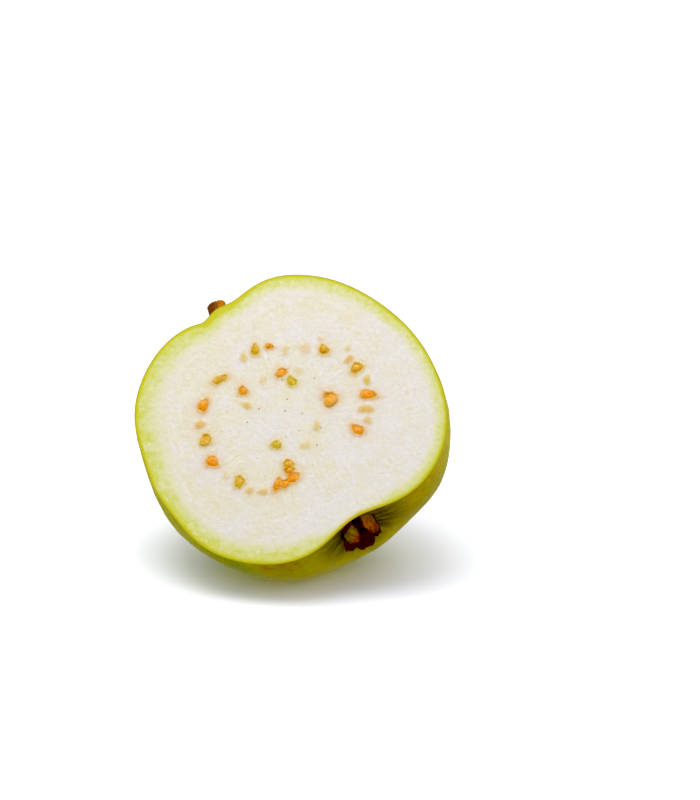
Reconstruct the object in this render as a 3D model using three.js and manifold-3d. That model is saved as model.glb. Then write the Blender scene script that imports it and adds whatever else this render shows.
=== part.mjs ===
// Half of a white-fleshed guava, cut a little in front of its core from stem to calyx. It lies
// tipped back on its skin with the cut face turned up and forward.
//
// Millimetres, +Z up. The origin is the middle of the flat spot that the fruit rests on.
// Inside the fruit's own frame the cut face is the plane z = 0, with +Z out of the face, +Y up
// along it and +X to the right, and the middle of the face is the origin.

import * as THREE from "three";
import { mergeVertices } from "three/addons/utils/BufferGeometryUtils.js";
import Module from "manifold-3d";

// ---------- driving dimensions: millimetres and degrees ----------

// The cut face and the body behind it
const OUTLINE = [45.7, 44.0, 43.8, 46.1, 47.8, 47.3, 47.0, 42.3, 42.2, 43.7, 43.7, 44.4];
// (the cut edge's distance from the middle of the face, every 30 degrees from +x, before the
// hollows at the stem and the calyx are taken off)
const CUT_OFFSET = 7; // the cut passes this far in front of the core
const CORE = new THREE.Vector3(0, 0, -CUT_OFFSET);
const BACK_RADIUS = 44.3; // the back of the fruit, from the core
const BACK_BLEND = 1.2; // how soon the outline rounds off into the back
const BACK_LEAN = 0.08; // the back drifts this much to the left for each millimetre of depth
const LUMP_HEIGHT = 0.45; // the soft lumps of the back

// Swells and hollows of the skin, seen from the core: turn is the angle on the face from +x, sink
// the angle behind the face, spread the angle over which they fade
const STEM = { turn: 129, sink: 0, rise: -8, spread: 16 };
const STEM_COLLAR = { turn: 129, sink: 0, rise: 4, spread: 7.6 };
const CALYX = { turn: 309.5, sink: 0, rise: -9, spread: 20.8 };
const BELLY = { turn: 270, sink: 58, rise: 2.2, spread: 26 }; // behind the resting spot
const FLANK = { turn: 222, sink: 13, rise: 2.2, spread: 21 }; // at the lower left
const FLANK_DIP = { turn: 240, sink: 15, rise: -0.8, spread: 15 }; // below that flank
const FLANK_RIGHT = { turn: 351, sink: 19, rise: 1.15, spread: 13 };
const EDGE_LEFT = { turn: 213, sink: -10, rise: 1.2, spread: 12 }; // the cut edge bulges here
const EDGE_LOW = { turn: 246, sink: -10, rise: 2.1, spread: 18 }; // and here
const SWELLS = [STEM, STEM_COLLAR, CALYX, BELLY, FLANK, FLANK_DIP, FLANK_RIGHT, EDGE_LEFT, EDGE_LOW];

// The pose: how the half lies on a surface
const FACE_TILT = 39.6; // the cut face's normal, above the horizontal
const FACE_HEIGHT = 46.0; // the middle of the cut face, above the surface
const PRESS_ROUNDING = 0.5; // height over which the pressed flat spot rounds off into the skin
const REST_SPOT = [-3, 9]; // middle of the flat spot, from the point below the face's middle

// Seeds that the knife laid bare: [x, y] on the face, row by row along the edge of the pulp
const SEED_ROWS = {
  leftRow: [
    [-5, 21.5], [-10, 22.5], [-14, 21], [-17, 18.5], [-23, 11], [-26.5, 2.5], [-26.5, -3.5],
    [-24, -8], [-21, -14.5], [-16, -18.5], [-12, -20], [-8.5, -22.5], [-4.5, -22.5],
    [-0.5, -20], [1.5, -19.5], [3.5, -17.5], [2, -15.5], [1.5, -13.5],
  ],
  rightRow: [
    [1, 22.5], [5, 26], [6.5, 22.5], [13.5, 23.5], [14.5, 20], [17, 17.5], [20.5, 14],
    [21.5, 9.5], [21.5, 5], [22.5, 1.5], [20, -1.5],
  ],
  innerRow: [[0, 15.5], [-1.5, 12], [-5, 14.5], [-10, 12], [-15.5, 8], [-13.5, 3.5]],
  coreRow: [[10.5, 7.5], [8, -1.5], [5.5, -7.5], [-3, -8]],
};
const SEED_LENGTH = 3.4;
const SEED_WIDTH = 2.7;
const SEED_HALF_HEIGHT = 1.25;
const SEED_SINK = 0.4; // a seed's middle lies this far under the face
const SEED_VARIATION = 0.18; // share by which a seed's size varies
const SEED_DRAW = 11; // start of the seeded draw

// The woody stub of the stem
const STUB_RADIUS = 2.55;
const STUB_FLARE = 0.3; // its broken end is this much wider than its root
const STUB_HEIGHT = 3.8; // above the collar of skin at its root
const STUB_ROOT = 2.0; // how deep it goes into the fruit
const STUB_SLANT = 0.1; // slope of its broken end
const STUB_LEAN = -18; // from the core's line, as seen on the face; minus is clockwise

// The calyx: a shallow cup with dry sepals and the stumps of the stamens
const CUP_RADIUS = 5.6;
const CUP_ROOT = 1.8; // how deep the cup goes into the fruit
const CUP_RIM = 0.5; // height of the cup's rim above the skin around it
const SEPAL_THICKNESS = 0.7;
// at: place round the cup, with 90 on the side of the cut face; out: lean at its root, outwards;
// curl: how far its tip is rolled in over the cup
const SEPALS = [
  { at: 35, width: 5.6, length: 7.8, out: 4, curl: 45 },
  { at: 150, width: 5.4, length: 6.8, out: 0, curl: 85 },
  { at: 212, width: 5.4, length: 6.2, out: 13, curl: -4 },
  { at: 268, width: 5.8, length: 7.6, out: 8, curl: 4 },
  { at: 330, width: 4.8, length: 6.0, out: 6, curl: 10 },
];
const STAMEN_COUNT = 11;
const STAMEN_RADIUS = 0.36;
const STAMEN_LENGTH = 2.4;

const FIT_GAP = 0.3; // clearance between pieces that touch

// Mesh steps
const FINE_STEP = 2;
const COARSE_STEP = 4.5;

// ---------- helpers ----------

const rad = THREE.MathUtils.degToRad;
const deg = THREE.MathUtils.radToDeg;

const wasm = await Module();
wasm.setup();

// A seeded draw between -1 and 1
function makeDraw(start) {
  let state = start;
  return () => {
    state = (state * 16807) % 2147483647;
    return (state / 2147483647) * 2 - 1;
  };
}

function toSolid(geometry) {
  const plain = geometry.clone();
  plain.deleteAttribute("normal");
  plain.deleteAttribute("uv");
  const merged = mergeVertices(plain, 1e-4);
  return new wasm.Manifold(
    new wasm.Mesh({
      numProp: 3,
      vertProperties: new Float32Array(merged.attributes.position.array),
      triVerts: new Uint32Array(merged.index.array),
    }),
  );
}

function toGeometry(solid) {
  const mesh = solid.getMesh();
  const geometry = new THREE.BufferGeometry();
  geometry.setAttribute("position", new THREE.BufferAttribute(mesh.vertProperties, 3));
  geometry.setIndex(new THREE.BufferAttribute(mesh.triVerts, 1));
  geometry.computeVertexNormals();
  return geometry;
}

function closedGeometry(points, triangles) {
  const geometry = new THREE.BufferGeometry();
  const coordinates = points.flatMap((point) => point.toArray());
  geometry.setAttribute("position", new THREE.Float32BufferAttribute(coordinates, 3));
  geometry.setIndex(triangles);
  return geometry;
}

// ---------- the fruit's skin as a formula ----------

// Closed smooth curve through values that are evenly spaced round the circle (Catmull-Rom)
function roundCurve(values, turn) {
  const count = values.length;
  const place = ((((turn % 360) + 360) % 360) / 360) * count;
  const first = Math.floor(place);
  const t = place - first;
  const [a, b, c, d] = [-1, 0, 1, 2].map((step) => values[(first + step + count) % count]);
  const slope = (c - a) * t + (2 * a - 5 * b + 4 * c - d) * t * t;
  return b + (slope + (3 * b - a - 3 * c + d) * t ** 3) / 2;
}

// Unit vector from the middle of the face: turn is the angle on the face, sink the angle behind it
function directionAt(turn, sink) {
  const flat = Math.cos(rad(sink));
  return new THREE.Vector3(
    flat * Math.cos(rad(turn)),
    flat * Math.sin(rad(turn)),
    -Math.sin(rad(sink)),
  );
}

function swell(direction, { turn, sink, rise, spread }) {
  const away = deg(direction.angleTo(directionAt(turn, sink)));
  return rise * Math.exp(-((away / spread) ** 2));
}

function lumps({ x, y, z }) {
  const wave = Math.sin(4.1 * x + 1.2) * Math.cos(3.3 * y - 0.6) + 0.6 * Math.sin(5.3 * y + 3.7 * z);
  return -LUMP_HEIGHT * z * wave;
}

// How far a point in that direction from the middle of the face lies from it, where it is radius
// away from the core
function reachTo(radius, sink) {
  const across = CUT_OFFSET * Math.cos(rad(sink));
  return CUT_OFFSET * Math.sin(rad(sink)) + Math.sqrt(radius ** 2 - across ** 2);
}

// The skin's distance from the core there
function skinRadius(turn, sink) {
  const direction = directionAt(turn, sink);
  const edge = Math.hypot(roundCurve(OUTLINE, turn), CUT_OFFSET);
  const share = Math.max(Math.cos(rad(sink)), 0) ** BACK_BLEND;
  const plain = BACK_RADIUS + (edge - BACK_RADIUS) * share;
  const fromCore = direction.clone().multiplyScalar(reachTo(plain, sink)).sub(CORE).normalize();
  const swells = SWELLS.map((place) => swell(fromCore, place));
  return swells.reduce((sum, rise) => sum + rise, plain + lumps(direction));
}

// A point of the skin in the fruit's frame
function skinPoint(turn, sink) {
  const reach = reachTo(skinRadius(turn, sink), sink);
  return pressFlat(leanBack(directionAt(turn, sink).multiplyScalar(reach)));
}

function leanBack(point) {
  point.x += BACK_LEAN * point.z;
  return point;
}

// Where the fruit's own weight presses its skin flat against the surface below
function pressFlat(point) {
  const up = new THREE.Vector3(0, Math.cos(rad(FACE_TILT)), Math.sin(rad(FACE_TILT)));
  const height = FACE_HEIGHT + point.dot(up);
  const t = height / PRESS_ROUNDING;
  if (t >= 1) return point;
  const pressed = t <= -1 ? 0 : (PRESS_ROUNDING * (t + 1) ** 2) / 4;
  return point.addScaledVector(up, pressed - height);
}

// ---------- the pieces ----------

// Angles from start to end, finer where near(angle) says so
function gradedAngles(start, end, near) {
  const angles = [start];
  let last = start;
  while (last + (near(last) ? FINE_STEP : COARSE_STEP) < end - FINE_STEP / 2) {
    last += near(last) ? FINE_STEP : COARSE_STEP;
    angles.push(last);
  }
  return angles;
}

// The whole half before seeds and sockets: the skin and the flat cut face
function bodySolid() {
  const nearEnds = (turn) => [STEM, CALYX].some((end) => Math.abs(turn - end.turn) < 15);
  const turns = gradedAngles(0, 360, nearEnds);
  const sinks = gradedAngles(0, 90, (sink) => sink < 24);
  const columns = turns.length;
  const points = sinks.flatMap((sink) => turns.map((turn) => skinPoint(turn, sink)));
  const back = points.push(skinPoint(0, 90)) - 1;
  const middle = points.push(new THREE.Vector3()) - 1;
  const lastRow = (sinks.length - 1) * columns;
  const triangles = [];
  turns.forEach((_, column) => {
    const next = (column + 1) % columns;
    triangles.push(middle, column, next);
    for (let row = 0; row < lastRow; row += columns) {
      const [a, b] = [row + column, row + next];
      triangles.push(a, a + columns, b, b, a + columns, b + columns);
    }
    triangles.push(lastRow + column, back, lastRow + next);
  });
  return toSolid(closedGeometry(points, triangles));
}

// Seeds sunk in the face, each turned and sized by the seeded draw
function seedSolids() {
  const draw = makeDraw(SEED_DRAW);
  const blank = new THREE.SphereGeometry(1, 9, 7).rotateX(Math.PI / 2);
  return Object.values(SEED_ROWS).flat().map(([x, y]) => {
    const size = 1 + SEED_VARIATION * draw();
    const alongRow = Math.atan2(y, x) + 0.9 * draw();
    const seed = blank.clone();
    seed.scale((size * SEED_LENGTH) / 2, (size * SEED_WIDTH) / 2, SEED_HALF_HEIGHT);
    seed.rotateX(0.25 * draw());
    seed.rotateZ(alongRow);
    seed.translate(x, y, -SEED_SINK);
    return toSolid(seed);
  });
}

// Lays a geometry that was made about the z axis over one end of the core, with its z axis
// outwards, its y axis towards the cut face and its origin on the skin
function atEnd(geometry, end, turnOnFace = 0) {
  const outward = directionAt(end.turn, end.sink);
  const towardsCut = new THREE.Vector3(0, 0, 1);
  const right = towardsCut.clone().cross(outward);
  const frame = new THREE.Matrix4().makeBasis(right, towardsCut, outward);
  const lean = new THREE.Matrix4().makeRotationY(rad(turnOnFace));
  const sink = deg(Math.atan2(CUT_OFFSET, BACK_RADIUS));
  const place = CORE.clone().addScaledVector(outward, skinRadius(end.turn, sink));
  return geometry.applyMatrix4(frame.multiply(lean).setPosition(leanBack(place)));
}

// A turned shape about the z axis, from [radius, height] pairs that start and end on the axis
function turned(profile, sides) {
  const points = profile.map(([radius, height]) => new THREE.Vector2(radius, height));
  return new THREE.LatheGeometry(points, sides).rotateX(Math.PI / 2);
}

// The stub of the stem: ribbed along its length, with a slanting broken end and a hollow pith
function stubGeometry() {
  const end = STUB_RADIUS + STUB_FLARE;
  const profile = [
    [0, -STUB_ROOT],
    [STUB_RADIUS, -STUB_ROOT],
    [STUB_RADIUS, 0],
    [STUB_RADIUS + STUB_FLARE / 2, STUB_HEIGHT / 2],
    [end, STUB_HEIGHT - 0.5],
    [end - 0.5, STUB_HEIGHT],
    [end / 2, STUB_HEIGHT - 0.25],
    [0, STUB_HEIGHT - 0.5],
  ];
  const stub = turned(profile, 20);
  const places = stub.attributes.position;
  for (let i = 0; i < places.count; i += 1) {
    const point = new THREE.Vector3().fromBufferAttribute(places, i);
    const around = Math.atan2(point.y, point.x);
    const rise = THREE.MathUtils.clamp(point.z / STUB_HEIGHT, 0, 1);
    const rib = 1 + 0.05 * rise * Math.cos(5 * around);
    places.setXYZ(i, point.x * rib, point.y * rib, point.z * (1 - STUB_SLANT * rise * Math.cos(around)));
  }
  return atEnd(toGeometry(toSolid(stub)), STEM, STUB_LEAN);
}

// One sepal: a blade that rises from the cup's rim and rolls in or out towards its tip
function sepalSolid({ at, width, length, out, curl }) {
  const alongSteps = 6;
  const acrossSteps = 4;
  const root = -1.2; // sunk in the cup's wall
  const sheets = [-1, 1].map((side) => {
    const rows = [];
    const spine = new THREE.Vector2(CUP_RADIUS - 0.8, root);
    for (let i = 0; i <= alongSteps; i += 1) {
      const s = i / alongSteps;
      const lean = rad(out * Math.min(1, 2 * s) - curl * s * s);
      if (i > 0) {
        spine.x += (Math.sin(lean) * length) / alongSteps;
        spine.y += (Math.cos(lean) * length) / alongSteps;
      }
      const half = (width / 2) * Math.sqrt(1 - (0.92 * s) ** 3);
      for (let j = 0; j <= acrossSteps; j += 1) {
        const t = (2 * j) / acrossSteps - 1;
        const round = (1 - Math.cos((t * half) / CUP_RADIUS)) * CUP_RADIUS;
        const shift = (side * SEPAL_THICKNESS) / 2;
        rows.push(new THREE.Vector3(
          spine.x - round + shift * Math.cos(lean),
          t * half,
          spine.y - shift * Math.sin(lean),
        ));
      }
    }
    return rows;
  });
  const perSheet = sheets[0].length;
  const perRow = acrossSteps + 1;
  const triangles = [];
  for (let i = 0; i < alongSteps; i += 1) {
    for (let j = 0; j < acrossSteps; j += 1) {
      const a = i * perRow + j;
      const [b, c, d] = [a + 1, a + perRow, a + perRow + 1];
      triangles.push(a, c, b, b, c, d);
      triangles.push(...[a, b, c, b, d, c].map((index) => index + perSheet));
    }
  }
  const border = [
    ...Array.from({ length: acrossSteps }, (_, j) => j),
    ...Array.from({ length: alongSteps }, (_, i) => i * perRow + acrossSteps),
    ...Array.from({ length: acrossSteps }, (_, j) => alongSteps * perRow + acrossSteps - j),
    ...Array.from({ length: alongSteps }, (_, i) => (alongSteps - i) * perRow),
  ];
  border.forEach((a, k) => {
    const b = border[(k + 1) % border.length];
    triangles.push(a, b, a + perSheet, b, b + perSheet, a + perSheet);
  });
  return toSolid(closedGeometry(sheets.flat(), triangles).rotateZ(rad(at)));
}

function stamenSolids() {
  const draw = makeDraw(SEED_DRAW + 1);
  return Array.from({ length: STAMEN_COUNT }, (_, i) => {
    const turn = i * 2.4;
    const reach = 3.4 * Math.sqrt((i + 0.5) / STAMEN_COUNT);
    const length = STAMEN_LENGTH * (1 + 0.3 * draw());
    const stamen = new THREE.CylinderGeometry(STAMEN_RADIUS, STAMEN_RADIUS, length, 5);
    stamen.rotateX(Math.PI / 2 + 0.25 * draw());
    stamen.rotateY(0.25 * draw());
    stamen.translate(reach * Math.cos(turn), reach * Math.sin(turn), length / 2 - CUP_ROOT + 0.3);
    return toSolid(stamen);
  });
}

function calyxGeometry() {
  const cup = turned([
    [0, -CUP_ROOT],
    [CUP_RADIUS - 0.3, -CUP_ROOT],
    [CUP_RADIUS, 0],
    [CUP_RADIUS - 0.1, CUP_RIM],
    [CUP_RADIUS - 0.9, CUP_RIM],
    [CUP_RADIUS - 1.4, -0.8],
    [0, -CUP_ROOT + 0.8],
  ], 24);
  const pieces = [toSolid(cup), ...SEPALS.map(sepalSolid), ...stamenSolids()];
  return atEnd(toGeometry(wasm.Manifold.union(pieces)), CALYX);
}

// The flesh makes room for a root that goes into it, with clearance all round
function socketSolid(radius, depth, end, turnOnFace) {
  const mouth = 8;
  const socket = turned([
    [0, -depth - FIT_GAP],
    [radius + FIT_GAP, -depth - FIT_GAP],
    [radius + FIT_GAP, mouth],
    [0, mouth],
  ], 24);
  return toSolid(atEnd(socket, end, turnOnFace));
}

function fruitGeometry() {
  const sockets = wasm.Manifold.union([
    socketSolid(STUB_RADIUS, STUB_ROOT, STEM, STUB_LEAN),
    socketSolid(CUP_RADIUS, CUP_ROOT, CALYX, 0),
  ]);
  const seeded = wasm.Manifold.union([bodySolid(), ...seedSolids()]);
  return toGeometry(seeded.subtract(sockets));
}

// ---------- the scene graph ----------

function piece(name, geometry, color, roughness) {
  const material = new THREE.MeshStandardMaterial({ color, roughness, metalness: 0 });
  const mesh = new THREE.Mesh(geometry, material);
  mesh.name = name;
  return mesh;
}

const fruit = new THREE.Group();
fruit.rotation.x = rad(90 - FACE_TILT);
fruit.position.set(-REST_SPOT[0], -REST_SPOT[1], FACE_HEIGHT);
fruit.add(
  piece("fruit_half", fruitGeometry(), 0xc6c23a, 0.45),
  piece("stem_stub", stubGeometry(), 0x8a4a16, 0.8),
  piece("calyx_crown", calyxGeometry(), 0x5a2416, 0.75),
);

const guava = new THREE.Group();
guava.add(fruit);
export default guava;
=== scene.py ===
"""A guava half: white flesh with a ring of seeds in a thin yellow-green skin, with the stub of
the stem at one end of the core and the dry calyx at the other.

Everything is in metres. The pieces are made in the fruit's own frame, where the cut face is the
plane z = 0 with +Z out of it and the middle of the face is the origin. Then their meshes are
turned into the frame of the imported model, which has +Z up.
"""

import math
from collections import namedtuple

import bmesh
import bpy
import numpy as np
from bpy.props import FloatProperty, FloatVectorProperty, IntProperty, PointerProperty
from mathutils import Matrix, Vector, kdtree, noise
from mathutils.geometry import delaunay_2d_cdt


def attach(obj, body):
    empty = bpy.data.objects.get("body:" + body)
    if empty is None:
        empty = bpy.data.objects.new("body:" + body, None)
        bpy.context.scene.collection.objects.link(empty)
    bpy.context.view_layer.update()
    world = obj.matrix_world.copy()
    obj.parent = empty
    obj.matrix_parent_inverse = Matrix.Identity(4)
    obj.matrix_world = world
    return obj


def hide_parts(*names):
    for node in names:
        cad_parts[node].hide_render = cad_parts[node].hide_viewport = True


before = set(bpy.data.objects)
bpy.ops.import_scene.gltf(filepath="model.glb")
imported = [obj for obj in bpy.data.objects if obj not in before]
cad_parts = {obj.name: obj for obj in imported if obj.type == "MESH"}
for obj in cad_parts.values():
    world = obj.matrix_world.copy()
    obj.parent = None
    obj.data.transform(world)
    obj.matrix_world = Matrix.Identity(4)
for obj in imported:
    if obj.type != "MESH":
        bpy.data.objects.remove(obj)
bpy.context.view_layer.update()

bl_info = {
    "name": "Guava half",
    "version": (1, 0, 0),
    "blender": (4, 5, 0),
    "location": "View3D > Sidebar > Guava",
    "description": "A cut guava half with its seeds, the stub of its stem and its dry calyx",
    "category": "Add Mesh",
}

MM = 0.001
TAU = math.tau

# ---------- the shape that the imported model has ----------

# The cut edge's distance from the middle of the face, every 30 degrees from +X
OUTLINE = [r * MM for r in (45.7, 44.0, 43.8, 46.1, 47.8, 47.3, 47.0, 42.3, 42.2, 43.7, 43.7, 44.4)]
CORE_DEPTH = 7 * MM  # the core lies this far behind the cut face
BACK_RADIUS = 44.3 * MM
BACK_BLEND = 1.2  # how soon the outline rounds off into the back
BACK_LEAN = 0.08  # the back drifts this much towards -X with depth
LUMP_HEIGHT = 0.45 * MM

FACE_TILT = math.radians(39.6)  # the cut face's normal, above the horizontal
FACE_MIDDLE = Vector((3, -9, 46)) * MM
UP = np.array([0, math.cos(FACE_TILT), math.sin(FACE_TILT)])  # in the fruit's own frame
PRESS_ROUNDING = 0.5 * MM  # height over which the flat spot below rounds off

Swell = namedtuple("Swell", "turn sink rise spread")


def swell(turn, sink, rise, spread):
    """A swell or hollow of the skin: turn on the face and sink behind it, in degrees, as seen
    from the core, its rise in millimetres and the angle over which it fades."""
    return Swell(math.radians(turn), math.radians(sink), rise * MM, math.radians(spread))


STEM = swell(turn=129, sink=0, rise=-8, spread=16)
CALYX = swell(turn=309.5, sink=0, rise=-9, spread=20.8)
SWELLS = (
    STEM,
    CALYX,
    swell(turn=129, sink=0, rise=4, spread=7.6),  # the collar of skin round the stem
    swell(turn=270, sink=58, rise=2.2, spread=26),  # the belly behind the resting spot
    swell(turn=222, sink=13, rise=2.2, spread=21),  # the flank at the lower left
    swell(turn=240, sink=15, rise=-0.8, spread=15),  # the skin below that flank
    swell(turn=351, sink=19, rise=1.15, spread=13),  # the flank at the right
    swell(turn=213, sink=-10, rise=1.2, spread=12),  # the cut edge bulges at the left
    swell(turn=246, sink=-10, rise=2.1, spread=18),  # and at the lower left
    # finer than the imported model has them
    swell(turn=129.5, sink=-6, rise=1.0, spread=4),  # the cut edge bulges under the stem
    swell(turn=137.5, sink=-9, rise=-0.7, spread=3),  # and dips beside it
)

Seed = namedtuple("Seed", "x y length width turn tone show")
BARE = 0.8  # seeds that show at least this much stand out of the flesh


def seed(x, y, length, width, turn, tone, show=1.0):
    """A seed on the face: its middle and size in millimetres and its turn in degrees. Its tone
    goes from 0, orange, to 1, olive, and it shows fully at 1 and hardly at 0."""
    return Seed(x * MM, y * MM, length * MM, width * MM, math.radians(turn), tone, show)


SEEDS = (
    # along the left of the pulp, from the top down
    seed(-5, 21.5, 3.8, 2.3, 80, tone=0.8, show=0.45),
    seed(-10, 22.5, 2.3, 2.0, 0, tone=0.25),
    seed(-14, 21, 3.4, 2.5, 85, tone=0.7),
    seed(-17, 18.5, 3.1, 2.3, 100, tone=0.9, show=0.65),
    seed(-23, 11, 4.1, 2.4, 30, tone=0.6, show=0.85),
    seed(-26.5, 2.5, 3.7, 3.1, 60, tone=0),
    seed(-26.5, -3.5, 3.1, 2.8, 0, tone=0.2, show=0.75),
    seed(-24, -8, 3.7, 3.0, 50, tone=0.65, show=0.9),
    seed(-21, -14.5, 4.2, 2.9, -35, tone=0),
    seed(-16, -18.5, 2.8, 2.3, -40, tone=0.9, show=0.35),
    seed(-12, -20, 4.1, 2.7, -75, tone=0.75),
    seed(-8.5, -22.5, 3.0, 2.4, -10, tone=0.2, show=0.55),
    seed(-4.5, -22.5, 2.9, 2.3, 0, tone=0.45, show=0.65),
    seed(-0.5, -20, 3.7, 2.6, 80, tone=0),
    seed(1.5, -19.5, 3.3, 2.5, 20, tone=0),
    seed(3.5, -17.5, 3.9, 2.8, 55, tone=0),
    seed(2, -15.5, 2.8, 2.3, 0, tone=0.1),
    seed(1.5, -13.5, 3.1, 2.7, -40, tone=0.6),
    # along the right of the pulp, from the top down
    seed(1, 22.5, 4.2, 3.4, 90, tone=0.15, show=0.35),
    seed(5, 26, 2.4, 1.4, -25, tone=0.4, show=0.4),
    seed(6.5, 22.5, 3.3, 2.7, -15, tone=0.55),
    seed(13.5, 23.5, 2.4, 1.8, 0, tone=0.8, show=0.5),
    seed(14.5, 20, 3.0, 2.6, 30, tone=0.1, show=0.7),
    seed(17, 17.5, 3.8, 3.0, 25, tone=0.6),
    seed(20.5, 14, 3.2, 2.2, 90, tone=0.8, show=0.75),
    seed(21.5, 9.5, 4.1, 3.0, 5, tone=0),
    seed(21.5, 5, 4.2, 2.8, 10, tone=0.4, show=0.79),
    seed(22.5, 1.5, 2.9, 2.5, 0, tone=0.1, show=0.55),
    seed(20, -1.5, 4.3, 2.6, -35, tone=0),
    # inside the left row
    seed(0, 15.5, 2.9, 2.5, 0, tone=0.85, show=0.4),
    seed(-1.5, 12, 3.4, 2.5, -60, tone=1),
    seed(-5, 14.5, 3.5, 2.4, 25, tone=0),
    seed(-10, 12, 2.9, 2.5, 70, tone=0.85, show=0.4),
    seed(-15.5, 8, 2.9, 2.6, 0, tone=0.15, show=0.95),
    seed(-13.5, 3.5, 3.1, 2.4, -20, tone=0.85, show=0.7),
    # near the core
    seed(10.5, 7.5, 4.4, 3.8, 80, tone=0.05, show=0.85),
    seed(8, -1.5, 3.2, 2.2, 75, tone=0.85, show=0.6),
    seed(5.5, -7.5, 3.1, 2.7, 30, tone=0.75, show=0.5),
    seed(-3, -8, 2.9, 2.6, 30, tone=0.95, show=0.85),
)

# Fineness of the meshes
RIM_COLUMNS = 480
ROWS_NEAR_RIM = (0.35, 0.8, 1.4, 2.1, 3.0, 4.0)  # degrees behind the face
ROW_STEP = 1.2  # degrees, further back
LAST_ROW = 89
FACE_PITCH = 0.56 * MM
SEED_PITCH = 0.27 * MM  # closer points round each seed
GRID_HALF = 50 * MM
RINGS_AT_EDGE = (0.12 * MM, 0.3 * MM, 0.55 * MM)


def tint(red, green, blue):
    """A linear colour from its 0-255 screen values."""
    def linear(value):
        value /= 255
        return value / 12.92 if value <= 0.04045 else ((value + 0.055) / 1.055) ** 2.4
    return tuple(linear(value) for value in (red, green, blue))


# ---------- settings ----------


def length(name, description, millimetres):
    return FloatProperty(name=name, description=description, default=millimetres * MM,
                         min=0, unit="LENGTH", precision=5)


def colour(name, description, *screen_values):
    return FloatVectorProperty(name=name, description=description, default=tint(*screen_values),
                               subtype="COLOR", size=3, min=0, max=1)


class FruitSettings(bpy.types.PropertyGroup):
    """Surface and colours of the skin and the flesh."""

    green_depth: length("Green depth", "How far in the flesh stays greenish", 10)
    dimple_height: length("Dimple height", "Height of the skin's fine dimples", 0.28)
    dimple_size: length("Dimple size", "Width of the skin's fine dimples", 5)
    grain_height: length("Grain height", "Roughness of the cut flesh", 0.14)
    grain_size: length("Grain size", "Width of the cut flesh's grain", 1.5)
    crease_height: length("Crease height", "Height of the folds at the core's two ends", 0.5)
    pore_size: length("Pore size", "Spacing of the skin's pores", 0.9)
    skin_colour: colour("Skin", "Colour of most of the skin", 188, 188, 0)
    ripe_colour: colour("Ripe skin", "Colour of the yellower patches", 202, 184, 0)
    green_colour: colour("Green skin", "Colour of the greener patches", 144, 172, 4)
    blush_colour: colour("Blush", "Orange-brown tint of the skin's blemishes", 184, 110, 8)
    flesh_colour: colour("Flesh", "Colour of the warmer flesh", 206, 200, 182)
    pulp_colour: colour("Pulp", "Colour of the clearer flesh", 205, 201, 194)
    straw_colour: colour("Straw", "Colour of the flesh's grains and fibres", 206, 188, 128)
    line_colour: colour("Skin line", "Colour of the skin where the cut shows it", 182, 178, 10)
    edge_colour: colour("Edge", "Colour of the flesh just under the skin", 190, 190, 44)


class SeedSettings(bpy.types.PropertyGroup):
    """Sizes and colours of the seeds."""

    rise: length("Rise", "How far a bare seed stands out of the cut face", 0.38)
    half_height: length("Half height", "Half the thickness of a seed", 1.2)
    lip_height: length("Lip height", "Height of the flesh's lip round a bare seed", 0.18)
    mound_height: length("Mound height", "Height of the flesh over a covered seed", 0.35)
    unevenness: length("Unevenness", "Height of a seed's facets", 0.17)
    draw: IntProperty(name="Draw", description="Start of the seeds' random draw", default=4)
    orange_colour: colour("Orange", "Colour of the ripe seeds", 214, 134, 0)
    amber_colour: colour("Amber", "Colour between orange and olive", 192, 136, 6)
    olive_colour: colour("Olive", "Colour of the greener seeds", 184, 160, 16)
    orange_stain: colour("Orange stain", "Tint of the flesh round orange seeds", 199, 150, 56)
    olive_stain: colour("Olive stain", "Tint of the flesh round olive seeds", 193, 168, 64)


class StemSettings(bpy.types.PropertyGroup):
    """The stub of the stem."""

    radius: length("Radius", "Radius of the stub at its root", 2.55)
    height: length("Height", "Height of the stub above the skin", 3.8)
    root: length("Root", "How deep the stub goes into the fruit", 2)
    bark_colour: colour("Bark", "Colour of the stub's bark", 108, 54, 2)
    wood_colour: colour("Wood", "Colour of the stub's ribs and broken end", 204, 124, 10)


class CalyxSettings(bpy.types.PropertyGroup):
    """The dry calyx."""

    cup_radius: length("Cup radius", "Outer radius of the cup", 5.6)
    thickness: length("Thickness", "Thickness of a sepal", 0.7)
    stamen_length: length("Stamen length", "Length of the dry stamens", 2.6)
    stamen_radius: length("Stamen radius", "Thickness of the dry stamens", 0.22)
    draw: IntProperty(name="Draw", description="Start of the stamens' random draw", default=3)
    dark_colour: colour("Dark", "Colour of the cup and the dark sepals", 104, 30, 28)
    tan_colour: colour("Tan", "Colour of the sepals that dried tan", 178, 104, 6)
    olive_colour: colour("Olive", "Colour of the sepals that are still olive", 164, 146, 8)


class StageSettings(bpy.types.PropertyGroup):
    """Floor, light and camera."""

    floor_size: length("Floor size", "Width of the floor", 20000)
    floor_colour: colour("Floor", "Colour of the floor", 248, 249, 253)
    sky_strength: FloatProperty(name="Sky", description="Strength of the light from all round",
                                default=1.0, min=0)
    key_power: FloatProperty(name="Key light", description="Power of the large soft light",
                             default=0.76, min=0, unit="POWER")
    camera_azimuth: FloatProperty(name="Azimuth", description="Turn of the camera from -Y towards +X",
                                  default=math.radians(12.79), subtype="ANGLE")
    camera_elevation: FloatProperty(name="Elevation", description="How far down the camera looks",
                                    default=math.radians(17.49), subtype="ANGLE")
    focal_length: FloatProperty(name="Focal length", description="The lens, for a 36 mm sensor",
                                default=100, min=1)


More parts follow.
